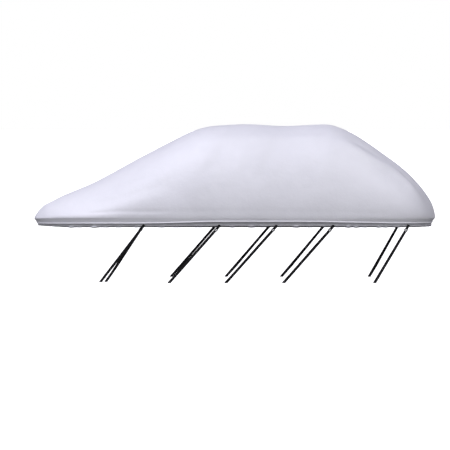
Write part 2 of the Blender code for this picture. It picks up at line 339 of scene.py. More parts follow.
def onSide(station, height, side):
    # the point of the cover's side at a station and a height
    ray = rayAt(station)
    rise = halve(0.0, 1.0, lambda middle: domePoint(ray, side, middle).z < height, halvings=24)
    return placed(domePoint(ray, side, rise))


# where the straps hang

webbing = {
    "width": 0.030,
    "thick": 0.0018,
    "laid": 0.0020,                 # what a layer takes up
    "gap": 0.0003,
    "layerGap": 0.0005,
    "tabSeat": 0.044,               # how far inward of the gunwale edge a tab lies
    "tabTop": 0.018,
    "tabStep": 0.010,               # from one row of the tab to the next on the hem
    "hemLow": -0.013,
    "buckleDrop": 0.030,
    "barOffset": 0.014,             # from the buckle's middle to the middle of an outer bar
    "loopRadius": 0.0042,
    "footWidth": 0.060,             # inside the loop, at its foot
    "footDepth": 0.125,             # over this height the inner leg is upright
    "footUnder": -0.633,            # height of the loop's inside at the bottom
    "footCorner": 0.005,
    # station at the hem, station at the foot, the foot's outer face, how far the inner leg leads
    "rows": [
        (1.237, 0.775, 0.520, 0.060),
        (2.085, 1.550, 0.750, 0.0),
        (2.723, 2.185, 0.750, 0.0),
        (3.357, 2.829, 0.750, 0.0),
        (4.216, 3.847, 0.740, 0.0),
    ],
}
sides = {"port": -1, "starboard": 1}
down = Vector((0, 0, -1))
aft = Vector((1, 0, 0))


def tabRay(station):
    # the first ray, in even steps, that reaches the station
    steps = 3000
    return next(k for k in range(steps) if planPoint(math.pi * k / steps).x >= station) * math.pi / steps


def strapFrame(row, side):
    # where one tab, buckle and strap lie, and which way
    hemStation, footStation, footFace, lead = row
    ray = tabRay(hemStation)
    away = planOut(ray)
    edge = planPoint(ray) - away * webbing["tabSeat"]
    seat = Vector((edge.x, side * edge.y, 0))
    along = Vector((away.y, -side * away.x, 0))
    normal = Vector((away.x, side * away.y, 0))
    layers = webbing["gap"] + webbing["laid"] + webbing["layerGap"] / 2
    top = seat + normal * layers + Vector((0, 0, webbing["hemLow"]))
    foot = Vector((footStation, side * (footFace + webbing["laid"] / 2), webbing["footUnder"]))
    run = (foot - top).normalized()
    across = (aft - run * aft.dot(run)).normalized()
    out = across.cross(run)
    if out.y * side < 0:
        out = -out
    return {
        "edge": Vector((planPoint(ray).x, side * planPoint(ray).y)), "seat": seat, "along": along,
        "normal": normal, "foot": foot, "down": run, "across": across, "out": out, "side": side,
        "lead": lead, "slant": (foot.x - top.x) / (foot.z - top.z),
        "buckle": top + run * webbing["buckleDrop"],
    }


hangs = {
    f"{name}_{number}": strapFrame(row, side)
    for name, side in sides.items() for number, row in enumerate(webbing["rows"], start=1)
}
tabSeats = {
    side: [hang["edge"] for hang in hangs.values() if hang["side"] == side] for side in sides.values()
}


# the cloth

coverCloth = {
    "sideColumns": 200,
    "hemSplit": 2,                  # hem columns for each column of the dome
    "domeRows": 44,
    "crowding": 1.35,               # rows stand closer towards the gunwale edge
    "turnShare": 0.30,              # metres of girth that a radian of turn counts for
    "thickness": 0.0015,
    "ruffle": 0.0060,               # how far a ruffle stands out or in
    "sag": 0.30,                    # how much lower a ruffle hangs, as a share of how far it stands out
    "gather": (0.060, 0.135),       # from one gather to the next, at least and at most
    "gatherSeed": 12,
    "gatherStrength": (0.35, 1.0),
    "ruffleRise": 1.5,              # from a gather out to the ruffle's middle, by its strength
    "rufflePinch": 0.6,             # how far in a gather is pinched, by the same
    "ruffleRoundness": 0.8,         # below 1 is fuller than a sine
    "ruffleLean": 0.15,
    "leanTurn": 9,                  # a ruffle's strength also sets which way it leans
    "tabSeat": 0.0445,              # the hem behind a tab lies a little further inward
    "tabFlat": (0.026, 0.070),      # from the tab's middle: flat to here, and wavy from there
    "flatFrom": 0.25,               # share of the ruffle from which a row lies flat behind a tab
    "drift": 0.0016,                # slow unevenness of the whole surface
    "driftScale": 2.2,
    "driftFiner": 2.3,              # how much finer its second layer is
    "driftShare": 0.5,              # and how deep that is beside the first
    "foldsFade": (0.070, 0.110),    # heights between which the folds set in
    "foldEnds": 0.22,               # share of a fold's length over which it fades at each end
    "foldStep": 0.06,
    "foldHandover": 0.30,           # width of the strip on the centre line where the sides' folds meet
    "aftSoftening": (0.9, 2.6),     # the gunwale edge is crisp ahead of these stations and soft abaft
    "softRows": 3,
    "softShare": 0.5,
    "softPasses": 3,
    "weld": 0.00002,
    # the sewn lip between the skirt and the hem: station, height, how far inward of the gunwale edge
    "lip": [
        (0.0, 0.0160, 0.030), (0.060, 0.0175, 0.026), (0.165, 0.0199, 0.017), (0.365, 0.0244, 0.011),
        (0.565, 0.0284, 0.009), (0.787, 0.0320, 0.008), (1.12, 0.0356, 0.007), (1.43, 0.0415, 0.006),
        (1.70, 0.0510, 0.005), (1.96, 0.0597, 0.004), (2.45, 0.0628, 0.004), (3.20, 0.0624, 0.004),
        (3.43, 0.0573, 0.005), (3.76, 0.0516, 0.006), (4.02, 0.0455, 0.009), (4.25, 0.0423, 0.012),
        (4.42, 0.0415, 0.019), (4.546, 0.0410, 0.032),
    ],
    # the hem's lower edge: station, height
    "bottom": [
        (0.0, -0.0130), (0.165, -0.0165), (0.365, -0.0210), (0.565, -0.0185), (0.787, -0.0150),
        (1.12, -0.0115), (1.43, -0.0090), (1.90, -0.0055), (2.45, -0.0030), (3.40, -0.0030),
        (3.90, -0.0045), (4.30, -0.0060), (4.546, -0.0060),
    ],
    # share of the way down from the gunwale edge to the lip, share of the way in, metres out, metres up
    "skirt": [
        (0.10, 0.08, 0.0, 0.0), (0.24, 0.24, 0.0, 0.0), (0.42, 0.48, 0.0, 0.0), (0.58, 0.70, 0.0, 0.0),
        (1.00, 0.92, 0.0, 0.0095), (1.00, 1.00, 0.0, 0.0052), (1.00, 0.99, 0.0024, 0.0020),
        (1.00, 1.00, 0.0044, -0.0015), (1.00, 1.00, 0.0048, -0.0040),
    ],
    "fineFrom": 4,                  # the skirt's rows from here on have the finer columns
    # share of the way down from the lip to the bottom, share of the way in to the seat, metres out,
    # share of the ruffle, share of painted shadow (a darker colour standing in for the shade under the hem)
    "hem": [
        (0.13, 0.02, 0.0030, 0.02, 0.0), (0.19, 0.22, 0.0, 0.06, 0.0), (0.26, 0.52, 0.0, 0.16, 0.0),
        (0.33, 0.80, 0.0, 0.35, 0.0), (0.42, 1.00, 0.0, 0.60, 0.0), (0.53, 1.03, 0.0, 0.85, 0.0),
        (0.63, 1.01, 0.0, 1.00, 0.0), (0.73, 0.98, 0.0, 1.00, 0.0), (0.78, 0.98, 0.0, 0.97, 0.15),
        (0.82, 0.99, 0.0, 0.93, 1.0), (0.93, 1.03, 0.0, 0.86, 1.0), (1.00, 1.12, 0.0, 0.75, 1.0),
        (0.95, 1.24, 0.0, 0.65, 1.0),
    ],
    # where the hem bulges more than elsewhere: station, reach, how far out
    "bulges": [
        (0.426, 0.050, 0.020), (0.531, 0.030, 0.010), (0.698, 0.048, 0.028), (0.820, 0.040, 0.013),
        (0.964, 0.040, 0.009), (1.186, 0.040, 0.014), (1.463, 0.040, 0.011), (1.630, 0.035, 0.010),
        (1.870, 0.045, 0.008), (2.250, 0.038, 0.017), (2.461, 0.050, 0.019), (2.594, 0.030, 0.013),
        (2.780, 0.030, 0.012), (2.966, 0.042, 0.023), (3.116, 0.030, 0.014), (3.260, 0.030, 0.010),
        (3.410, 0.035, 0.016), (3.543, 0.035, 0.024), (3.637, 0.036, 0.025), (3.737, 0.030, 0.013),
        (3.887, 0.035, 0.019), (3.970, 0.032, 0.018), (4.097, 0.040, 0.017), (4.325, 0.030, 0.011),
    ],
}

# creases and swells of both sides: points (station, height), width, depth outwards
folds = {
    "belt": ([(0.90, 0.165), (1.12, 0.163), (2.0, 0.175), (2.45, 0.178), (3.0, 0.173),
              (4.10, 0.156), (4.40, 0.150)], 0.020, -0.0016),
    "bowBelt": ([(0.55, 0.140), (0.79, 0.151), (1.00, 0.166), (1.20, 0.164), (1.60, 0.168)],
                0.019, -0.0030),
    "bowBeltLip": ([(0.60, 0.112), (0.80, 0.122), (1.12, 0.128), (1.60, 0.134)], 0.015, 0.0010),
    "rearQuarter": ([(3.36, 1.025), (3.56, 0.902), (3.73, 0.800), (3.89, 0.706), (4.03, 0.639),
                     (4.11, 0.577), (4.22, 0.478), (4.33, 0.345), (4.42, 0.200)], 0.080, 0.0240),
    "behindQuarter": ([(3.50, 1.030), (3.70, 0.900), (3.89, 0.790), (4.05, 0.700), (4.16, 0.600),
                       (4.28, 0.480), (4.38, 0.330)], 0.055, -0.0100),
    "roofEdge": ([(1.90, 0.960), (2.30, 0.985), (2.75, 0.985), (3.20, 0.985), (3.42, 0.970)],
                 0.090, 0.0120),
    "drawA": ([(2.20, 0.98), (2.07, 0.74), (1.86, 0.50)], 0.060, -0.0045),
    "drawB": ([(2.42, 0.96), (2.32, 0.70), (2.14, 0.42)], 0.055, 0.0040),
    "drawC": ([(2.78, 0.98), (2.66, 0.72), (2.50, 0.46)], 0.065, -0.0050),
    "drawD": ([(3.06, 0.90), (2.98, 0.66), (2.84, 0.40)], 0.055, 0.0035),
    "drawE": ([(3.46, 0.86), (3.38, 0.62), (3.30, 0.38)], 0.060, -0.0040),
    "bowFlank": ([(0.55, 0.30), (0.95, 0.36), (1.35, 0.50), (1.70, 0.72)], 0.070, 0.0050),
    "bowSwell": ([(0.10, 0.060), (0.43, 0.090), (0.63, 0.140), (0.83, 0.190), (1.03, 0.235),
                  (1.23, 0.285), (1.43, 0.335), (1.60, 0.375)], 0.100, 0.0080),
}


def sideRays(count):
    # the rays of one side's ribs, closer where the plan turns
    rays = np.linspace(0, math.pi, num=4001)
    points = np.array([planPoint(ray) for ray in rays])
    legs = np.diff(points, axis=0)
    heading = np.arctan2(legs[:, 1], legs[:, 0])
    turned = np.abs(np.diff(heading, prepend=math.pi / 2))
    steps = np.hypot(legs[:, 0], legs[:, 1]) + coverCloth["turnShare"] * turned
    course = np.concatenate([[0], np.cumsum(steps)])
    return [float(ray) for ray in np.interp(np.linspace(0, course[-1], count + 1), course, rays)]


def ribRises(ray):
    # rises of the rows along a rib, by length of cloth
    rises = np.linspace(0, 1, num=97)
    points = np.array([domePoint(ray, 1, rise) for rise in rises])
    run = np.concatenate([[0], np.cumsum(np.linalg.norm(np.diff(points, axis=0), axis=1))])
    shares = (np.arange(coverCloth["domeRows"] + 1) / coverCloth["domeRows"]) ** coverCloth["crowding"]
    return np.interp(shares * run[-1], run, rises)


def makeGathers(girth):
    # places of the gathers round the hem, and the strength of the ruffle after each
    dice = random.Random(coverCloth["gatherSeed"])
    places = [0.0]
    while places[-1] < girth:
        places.append(places[-1] + dice.uniform(*coverCloth["gather"]))
    stretch = girth / places[-1]
    strengths = [dice.uniform(*coverCloth["gatherStrength"]) for _ in places]
    return [place * stretch for place in places], strengths


def ruffleAt(place, gathers):
    # a full bulge between two pinched gathers
    places, strengths = gathers
    first = min(bisect_right(places, place) - 1, len(places) - 2)
    part = (place - places[first]) / (places[first + 1] - places[first])
    strength = strengths[first]
    bulge = math.sin(math.pi * part) ** coverCloth["ruffleRoundness"]
    turn = 2 * math.pi * part + strength * coverCloth["leanTurn"]
    lean = coverCloth["ruffleLean"] * math.sin(turn)
    return strength * (coverCloth["ruffleRise"] * bulge - coverCloth["rufflePinch"] + lean)


def skirtPoint(ray, side, row):
    share, inward, out, up = row
    edge = planPoint(ray)
    top = readTable(shape["gunwale"], edge.x)
    lip = readTable(coverCloth["lip"], edge.x)
    point = edge - planOut(ray) * (readTable(coverCloth["lip"], edge.x, 2) * inward - out)
    return Vector((point.x, side * point.y, top + (lip - top) * share + up))


def hemPoint(ray, side, row, wave, flat):
    # wave is how far the hem stands out here, and flat is 1 behind a tab
    share, inward, out, ruffle, _ = row
    edge = planPoint(ray)
    lip = readTable(coverCloth["lip"], edge.x)
    lipInward = readTable(coverCloth["lip"], edge.x, 2)
    seat = coverCloth["tabSeat"]
    stand = wave * ruffle * (1 - flat)
    deep = lipInward + (seat - lipInward) * inward - out - stand
    height = lip + (readTable(coverCloth["bottom"], edge.x) - lip) * share - coverCloth["sag"] * stand
    if ruffle > coverCloth["flatFrom"]:
        deep += (seat - deep) * flat
    point = edge - planOut(ray) * deep
    return Vector((point.x, side * point.y, height))


def bulgeAt(station):
    return sum(out * math.exp(-(((station - at) / reach) ** 2)) for at, reach, out in coverCloth["bulges"])


def foldDistance(points, path):
    # from each point to a polyline, and how far along it the nearest place is, from 0 to 1
    legs = np.diff(path, axis=0)
    lengths = np.linalg.norm(legs, axis=1)
    starts = np.concatenate([[0], np.cumsum(lengths)[:-1]])
    nearest = np.full(len(points), np.inf)
    along = np.zeros(len(points))
    for start, leg, length, before in zip(path, legs, lengths, starts):
        part = np.clip(((points - start) @ leg) / length**2, 0, 1)
        distance = np.linalg.norm(points - start - part[:, None] * leg, axis=1)
        closer = distance < nearest
        nearest[closer] = distance[closer]
        along[closer] = (before + part[closer] * length) / lengths.sum()
    return nearest, along


def smoothPath(points, side):
    # the fold's points in space, with others between them on a smooth curve
    table = [(float(k), *point) for k, point in enumerate(points)]
    length = sum(math.dist(before, after) for before, after in zip(points, points[1:]))
    count = max(2, round(length / coverCloth["foldStep"]))
    spots = []
    for k in range(count + 1):
        place = k * (len(points) - 1) / count
        station = readTable(table, place, 1)
        if side > 0:
            station += shape["starboardShift"] * min(1.0, max(0.0, shape["shiftEnds"] - station))
        spots.append(onSide(station, readTable(table, place, 2), side))
    return np.array(spots)


def foldRelief(points):
    # how far the folds move each point outwards
    relief = np.zeros(len(points))
    for side in (-1, 1):
        # a fold hands over to its twin on the other side across the centre line
        share = eased(np.clip(0.5 + points[:, 1] * side / coverCloth["foldHandover"], 0, 1))
        here = share > 0
        for path, width, depth in folds.values():
            distance, along = foldDistance(points[here], smoothPath(path, side))
            ends = eased(np.clip(np.minimum(along, 1 - along) / coverCloth["foldEnds"], 0, 1))
            relief[here] += depth * ends * share[here] * np.exp(-((distance / width) ** 2))
    return relief


def hemColumns(rays, ring):
    # the hem's finer columns (ray, side), how far each one stands out, and how flat a tab holds it
    split = coverCloth["hemSplit"]
    fine = []
    for number, (k, side) in enumerate(ring):
        nextK, nextSide = ring[(number + 1) % len(ring)]
        here = nextSide if k in (0, coverCloth["sideColumns"]) else side
        for part in range(split):
            fine.append((rays[k] + (rays[nextK] - rays[k]) * part / split, here))
    edges = [planPoint(ray) for ray, _ in fine]
    edges = [Vector((edge.x, edge.y * side)) for edge, (_, side) in zip(edges, fine)]
    girths = [0.0]
    for before, after in zip(edges, edges[1:] + edges[:1]):
        girths.append(girths[-1] + (after - before).length)
    gathers = makeGathers(girths[-1])
    waves = []
    flats = []
    for girth, edge, (_, side) in zip(girths, edges, fine):
        shift = shape["starboardShift"] if side > 0 else 0.0
        waves.append(coverCloth["ruffle"] * ruffleAt(girth, gathers) + bulgeAt(edge.x - shift))
        away = min((edge - seat).length for seat in tabSeats[side])
        flats.append(1 - easeStep(*coverCloth["tabFlat"], away))
    return fine, waves, flats


def loftRows():
    # the dome's and skirt's rows of points, and the hem's rows with the finer columns
    sideCount = coverCloth["sideColumns"]
    rays = sideRays(sideCount)
    ring = [(k, 1) for k in range(sideCount + 1)] + [(k, -1) for k in range(sideCount - 1, 0, -1)]
    rises = [ribRises(ray) for ray in rays]
    rows = []
    for row in range(coverCloth["domeRows"], -1, -1):
        rows.append([domePoint(rays[k], side, rises[k][row]) for k, side in ring])
    # the two sides meet on the ridge
    rows[0] = [(domePoint(rays[k], 1, 1) + domePoint(rays[k], -1, 1)) / 2 for k, _ in ring]
    for row in coverCloth["skirt"][:coverCloth["fineFrom"]]:
        rows.append([skirtPoint(rays[k], side, row) for k, side in ring])

    fine, waves, flats = hemColumns(rays, ring)
    hem = []
    for row in coverCloth["skirt"][coverCloth["fineFrom"]:]:
        hem.append([skirtPoint(ray, side, row) for ray, side in fine])
    spots = [(ray, side, wave, flat) for (ray, side), wave, flat in zip(fine, waves, flats)]
    for row in coverCloth["hem"]:
        hem.append([hemPoint(ray, side, row, wave, flat) for ray, side, wave, flat in spots])
    return rows, hem


def softenEdge(rows):
    # abaft the bow the gunwale edge is a soft turn, and not a crease
    grid = np.array([[tuple(point) for point in row] for row in rows])
    edge = coverCloth["domeRows"]
    reach = coverCloth["softRows"]
    weights = np.array([easeStep(*coverCloth["aftSoftening"], station) for station in grid[edge, :, 0]])
    for _ in range(coverCloth["softPasses"]):
        before = grid.copy()
        for row in range(edge - reach, edge + reach + 1):
            middle = (before[row - 1] + before[row + 1]) / 2
            grid[row] += (middle - before[row]) * (coverCloth["softShare"] * weights)[:, None]
    return [[Vector(point) for point in row] for row in grid]


def addRing(mesh, rows, start, shadowShares=()):
    # Vertices of rows that go right round, the last ones each with a share of painted shadow, a darkening
    # of the colour that stands in for the shade under the hem. The function that comes back gives a corner
    # with its place on the cloth: metres along the row from amidships, and metres down the rib from the
    # ridge.
    grid = np.array([[tuple(point) for point in row] for row in rows])
    count = grid.shape[1]
    legs = np.linalg.norm(np.diff(grid, axis=1, append=grid[:, :1]), axis=2)
    along = np.concatenate([np.zeros((len(rows), 1)), np.cumsum(legs, axis=1)], axis=1)
    ribs = np.linalg.norm(np.diff(grid, axis=0), axis=2)
    below = start + np.concatenate([np.zeros((1, count)), np.cumsum(ribs, axis=0)])
    amidships = int(np.argmin(np.abs(grid[-1, :count // 2, 0] - shape["length"] / 2)))
    verts = [[mesh.verts.new(placed(point)) for point in row] for row in rows]
    # painted shadow: the hem's last rows get a darkening of the colour that stands in for the shade under
    # the hem
    paintedShadow = mesh.verts.layers.float["paintedShadow"]
    for ring, dark in zip(reversed(verts), reversed(shadowShares)):
        for spot in ring:
            spot[paintedShadow] = dark

    def corner(row, column, starboard):
        spot = verts[row][column % count]
        fall = below[row, column % count]
        if starboard:
            return spot, (along[row, column] - along[row, amidships], -fall)
        return spot, (along[row, count - amidships] - along[row, column], fall)

    return corner, below[-1]


def addFace(mesh, weave, corners):
    face = mesh.faces.new([spot for spot, _ in corners])
    face.smooth = True
    for loop, (_, place) in zip(face.loops, corners):
        loop[weave].uv = place


def addBands(mesh, weave, corner, rowCount, columnCount):
    for row in range(rowCount - 1):
        for k in range(columnCount):
            half = k < columnCount // 2
            addFace(mesh, weave, [corner(row, k, half), corner(row, k + 1, half),
                                  corner(row + 1, k + 1, half), corner(row + 1, k, half)])


def addJoin(mesh, weave, upper, lower, last, count):
    # from the last coarse row to the first fine one, which has two columns for each of its own
    for k in range(count):
        half = k < count // 2
        left, right = upper(last, k, half), upper(last, k + 1, half)
        under = [lower(0, 2 * k + part, half) for part in range(3)]
        addFace(mesh, weave, [left, under[1], under[0]])
        addFace(mesh, weave, [left, right, under[1]])
        addFace(mesh, weave, [right, under[2], under[1]])


def drape(mesh):
    # the folds, and a slow unevenness, along each vertex's normal
    points = np.array([tuple(vert.co) for vert in mesh.verts])
    heights = points[:, 2] + shape["underCrown"]
    low, high = coverCloth["foldsFade"]
    part = np.clip((heights - low) / (high - low), 0, 1)
    relief = foldRelief(points) * eased(part)
    for vert, share, lift in zip(mesh.verts, part, relief):
        place = vert.co * coverCloth["driftScale"]
        slow = noise.noise(place) + coverCloth["driftShare"] * noise.noise(place * coverCloth["driftFiner"])
        vert.co += vert.normal * (lift + coverCloth["drift"] * slow * share)


def makeCoverCloth(finish):
    rows, hem = loftRows()
    rows = softenEdge(rows)
    count = len(rows[0])
    mesh = bmesh.new()
    weave = mesh.loops.layers.uv.new("weave")
    # a vertex layer of painted shadow for the hem's lower edge
    mesh.verts.layers.float.new("paintedShadow")
    upper, fall = addRing(mesh, rows, 0.0)
    drop = np.repeat(fall, coverCloth["hemSplit"]) + (rows[-1][0] - hem[0][0]).length
    lower, _ = addRing(mesh, hem, drop, [row[-1] for row in coverCloth["hem"]])
    addBands(mesh, weave, upper, len(rows), count)
    addBands(mesh, weave, lower, len(hem), len(hem[0]))
    addJoin(mesh, weave, upper, lower, len(rows) - 1, count)
    bmesh.ops.remove_doubles(mesh, verts=mesh.verts, dist=coverCloth["weld"])
    mesh.normal_update()
    drape(mesh)
    piece = pieceFrom(mesh, "coverCloth", finish)
    wall = piece.modifiers.new("thickness", "SOLIDIFY")
    wall.thickness = coverCloth["thickness"]
    wall.offset = -1
    return piece, hem


# finishes

def clothFinish():
    finish = Finish("silver cloth", {
        "Metallic": 0.16, "Specular IOR Level": 0.5, "Sheen Weight": 0.05, "Sheen Roughness": 0.45,
    })
    place = finish.place()
    across, along, _ = finish.parts(finish.place("UV"))
    thread = 0.0011                      # metres from one thread to the next
    turn = 2 * math.pi / thread
    weave = (across * turn).sine() * (along * turn).sine()
    silver = [(0.650, 0.650, 0.690, 1), (0.682, 0.682, 0.722, 1)]
    shade = (0.50, 0.50, 0.55, 1)
    # painted shadow: a near-black tone that stands in for the shade under the hem's lower edge
    shadowTone = (0.022, 0.022, 0.026, 1)
    crumple = finish.cloud(place, 9.0, detail=3, roughness=0.55)
    fine = finish.cloud(place, 46.0)
    slow = finish.cloud(place, 1.7)
    grain = finish.cloud(place, 260.0, detail=1)
    tone = slow * 0.65 + crumple * 0.35
    colour = finish.mix(tone.between(0.35, 0.65), *silver)
    colour = finish.mix(weave * 0.04 + grain * 0.08, colour, shade)
    # painted shadow darkens the hem's lower edge, by the vertex layer
    paintedShadow = finish.add("ShaderNodeAttribute", {"attribute_name": "paintedShadow"}, output="Fac")
    finish.give("Base Color", finish.mix(paintedShadow, colour, shadowTone))
    finish.give("Roughness", 0.50 + grain * 0.10 + crumple * 0.06)
    wide = finish.bump(crumple, 0.0030)
    narrow = finish.bump(fine, 0.0007, wide)
    finish.give("Normal", finish.bump(weave * 0.5 + grain * 0.5, 0.00010, narrow))
    return finish.data


def webbingFinish():
    finish = Finish("black webbing", {
        "Metallic": 0.0, "Specular IOR Level": 0.30, "Sheen Weight": 0.06, "Sheen Roughness": 0.5,
    })
    across, along, _ = finish.parts(finish.place("UV"))
    rib = 0.0034                         # metres across one rib
    pick = 0.0024                        # metres along one pick
    black = [(0.0035, 0.0035, 0.0045, 1), (0.013, 0.013, 0.015, 1)]
    ribs = (across * (math.pi / rib)).sine().size()
    picks = (along * (2 * math.pi / pick)).sine() * 0.5 + 0.5
    fibre = finish.cloud(finish.stretch(finish.place("UV"), (900, 240, 1)), 1.0, roughness=0.6)
    weave = ribs * (0.55 + 0.45 * picks)
    finish.give("Base Color", finish.mix(weave * 0.7 + fibre * 0.3, *black))
    finish.give("Roughness", 0.62 + fibre * 0.2)
    finish.give("Normal", finish.bump(weave + fibre * 0.25, 0.00035))
    return finish.data


def plasticFinish():
    finish = Finish("black plastic", {"Metallic": 0.0, "Specular IOR Level": 0.5})
    place = finish.place()
    black = [(0.007, 0.007, 0.008, 1), (0.022, 0.022, 0.024, 1)]
    mould = finish.cloud(place, 900.0, roughness=0.6)
    rub = finish.cloud(place, 120.0, detail=3, roughness=0.6)
    finish.give("Base Color", finish.mix(rub.between(0.55, 0.75), *black))
    finish.give("Roughness", 0.34 + mould * 0.14)
    finish.give("Normal", finish.bump(mould, 0.00006))
    return finish.data


def threadFinish(name, dark, light):
    finish = Finish(name, {"Metallic": 0.0, "Specular IOR Level": 0.35})
    twist = finish.cloud(finish.place(), 2400.0, detail=1)
    finish.give("Base Color", finish.mix(twist, (*dark, 1), (*light, 1)))
    finish.give("Roughness", 0.6 + twist * 0.15)
    finish.give("Normal", finish.bump(twist, 0.00008))
    return finish.data


# webbing

band = {
    "bendSteps": 10,                # in a quarter turn
    "legSteps": 12,
    "slack": 0.0022,                # how far a leg bows out of line
    # half of the band's section: shares of half its width and of half its thickness
    "section": [(-1.0, -0.40), (-0.95, -0.95), (-0.80, -1.0), (-0.40, -0.86), (0.0, -0.90), (0.40, -0.86),
                (0.80, -1.0), (0.95, -0.95), (1.0, -0.40)],
}


def makeBand(name, rows, closed, finish):
    # rows are (middle, half width as a vector)
    profile = band["section"] + [(-across, -up) for across, up in band["section"]]
    mesh = bmesh.new()
    weave = mesh.loops.layers.uv.new("weave")
    count = len(rows)
    sections = []
    run = [0.0]
    for k, (middle, half) in enumerate(rows):
        before = rows[k - 1][0] if closed or k else middle
        after = rows[(k + 1) % count][0] if closed or k + 1 < count else middle
        depth = half.cross(after - before).normalized() * webbing["thick"] / 2
        spots = [placed(middle + half * share + depth * up) for share, up in profile]
        sections.append([mesh.verts.new(spot) for spot in spots])
        if k:
            run.append(run[-1] + (middle - rows[k - 1][0]).length)
    pairs = [(k, k + 1) for k in range(count - 1)]
    if closed:
        pairs.append((count - 1, 0))
        run.append(run[-1] + (rows[0][0] - rows[-1][0]).length)
    else:
        mesh.faces.new(sections[0])
        mesh.faces.new(list(reversed(sections[-1])))
    halfWidth = webbing["width"] / 2
    for near, far in pairs:
        for k, (share, _) in enumerate(profile):
            following = (k + 1) % len(profile)
            nextShare = profile[following][0]
            addFace(mesh, weave, [
                (sections[near][k], (share * halfWidth, run[near])),
                (sections[near][following], (nextShare * halfWidth, run[near])),
                (sections[far][following], (nextShare * halfWidth, run[near + 1])),
                (sections[far][k], (share * halfWidth, run[near + 1])),
            ])
    bmesh.ops.recalc_face_normals(mesh, faces=mesh.faces)
    return pieceFrom(mesh, name, finish)


def arc(middle, start, end, radius, first, second):
    count = max(2, math.ceil(abs(end - start) / (math.pi / 2) * band["bendSteps"]))
    turns = [start + (end - start) * k / count for k in range(count + 1)]
    return [middle + first * radius * math.cos(turn) + second * radius * math.sin(turn) for turn in turns]


def leg(start, end, bow):
    # points between two ends, bowed a little out of line
    count = band["legSteps"]
    return [start.lerp(end, k / count) + bow * math.sin(math.pi * k / count) for k in range(1, count)]


def tabRows(hang):
    bar = hang["buckle"] - hang["down"] * webbing["barOffset"]
    low = webbing["hemLow"]
    slanted = (Vector((0, 0, 1)) + hang["along"] * hang["slant"] / hang["along"].x).normalized()
    halfWidth = webbing["width"] / 2
    onHem = (hang["along"] - slanted * hang["along"].dot(slanted)).normalized() * halfWidth
    atBar = hang["across"] * halfWidth
    loop = arc(bar, -math.pi / 2, math.pi / 2, webbing["loopRadius"], hang["down"], hang["out"])

    def spot(height, layer):
        lift = webbing["gap"] + webbing["laid"] / 2 + layer * (webbing["laid"] + webbing["layerGap"])
        rise = slanted * (height - low) / slanted.z
        return hang["seat"] + hang["normal"] * lift + Vector((0, 0, low)) + rise, onHem

    top = webbing["tabTop"]
    heights = [top, top - webbing["tabStep"], top - 2 * webbing["tabStep"], low]
    rows = [spot(height, 0) for height in heights]
    rows += [(point, atBar) for point in loop]
    rows += [spot(height, 1) for height in reversed(heights)]
    return rows, spot, slanted


def strapRows(hang):
    side, foot, run, out = hang["side"], hang["foot"], hang["down"], hang["out"]
    bar = hang["buckle"] + run * webbing["barOffset"]
    halfWidth = webbing["width"] / 2
    level = aft * halfWidth
    slanted = aft * halfWidth / math.sqrt(1 - run.x**2)
    atBar = hang["across"] * halfWidth
    overBar = arc(bar, math.pi / 2, -math.pi / 2, webbing["loopRadius"], -run, out)
    outerFace = abs(foot.y)
    innerFace = outerFace - webbing["footWidth"] - webbing["laid"]
    low = webbing["footUnder"] - webbing["laid"] / 2
    bend = webbing["footCorner"] + webbing["laid"] / 2
    footTop = webbing["footUnder"] + webbing["footDepth"]
    slantIn = (overBar[-1].x - foot.x - hang["lead"]) / (overBar[-1].z - low)

    def inner(height):
        return Vector((foot.x + hang["lead"] + slantIn * (height - low), side * innerFace, height))

    def corner(face, lead, start, end, inward):
        middle = Vector((foot.x + lead, side * (face + inward * bend), low + bend))
        return arc(middle, start, end, bend, Vector((0, -side * inward, 0)), down)

    lean = math.atan2(abs((bar + out * webbing["loopRadius"]).y) - outerFace, bar.z - low)
    innerCorner = corner(innerFace, hang["lead"], 0, math.pi / 2, 1)
    outerCorner = corner(outerFace, 0.0, math.pi / 2, lean, -1)
    bow = out * band["slack"]

    def graded(points, start, end):
        return [(point, start.lerp(end, k / max(len(points) - 1, 1))) for k, point in enumerate(points)]

    rows = [(point, atBar) for point in overBar]
    rows += graded(leg(overBar[-1], inner(footTop), -bow), atBar, slanted)
    rows += [(inner(footTop), slanted)]
    rows += [(point, slanted) for point in leg(inner(footTop), innerCorner[0], Vector())]
    rows += graded(innerCorner, slanted, level)
    rows += graded(outerCorner, level, slanted)
    rows += graded(leg(outerCorner[-1], overBar[0], bow), slanted, atBar)
    return rows


# buckles

buckle = {
    "size": (0.0395, 0.032, 0.004),
    "corner": 0.004,
    "slot": (0.0315, 0.0058),
    "slotCorner": 0.0012,
    "slotOffset": 0.0091,
    "cornerSteps": 5,
    "roundness": 0.0007,
    "rimSteps": 2,
    "weld": 0.00001,
    "sharpAngle": 40,               # degrees
    "toothSpacing": 0.0030,
    "toothSize": (0.0011, 0.0040, 0.0007),
    "toothProud": 0.3,              # share of its height by which a tooth's middle lies off the bar
}


def roundedOutline(width, height, middle, corner):
    points = []
    steps = buckle["cornerSteps"]
    for quarter, (across, up) in enumerate(((1, 1), (-1, 1), (-1, -1), (1, -1))):
        for step in range(steps + 1):
            turn = (quarter + step / steps) * math.pi / 2
            points.append((across * (width / 2 - corner) + corner * math.cos(turn),
                           middle + up * (height / 2 - corner) + corner * math.sin(turn)))
    return points


def buckleMatrix(hang):
    up = -hang["down"]
    turned = Matrix((up.cross(hang["out"]), up, hang["out"])).transposed().to_4x4()
    return Matrix.Translation(placed(hang["buckle"])) @ turned


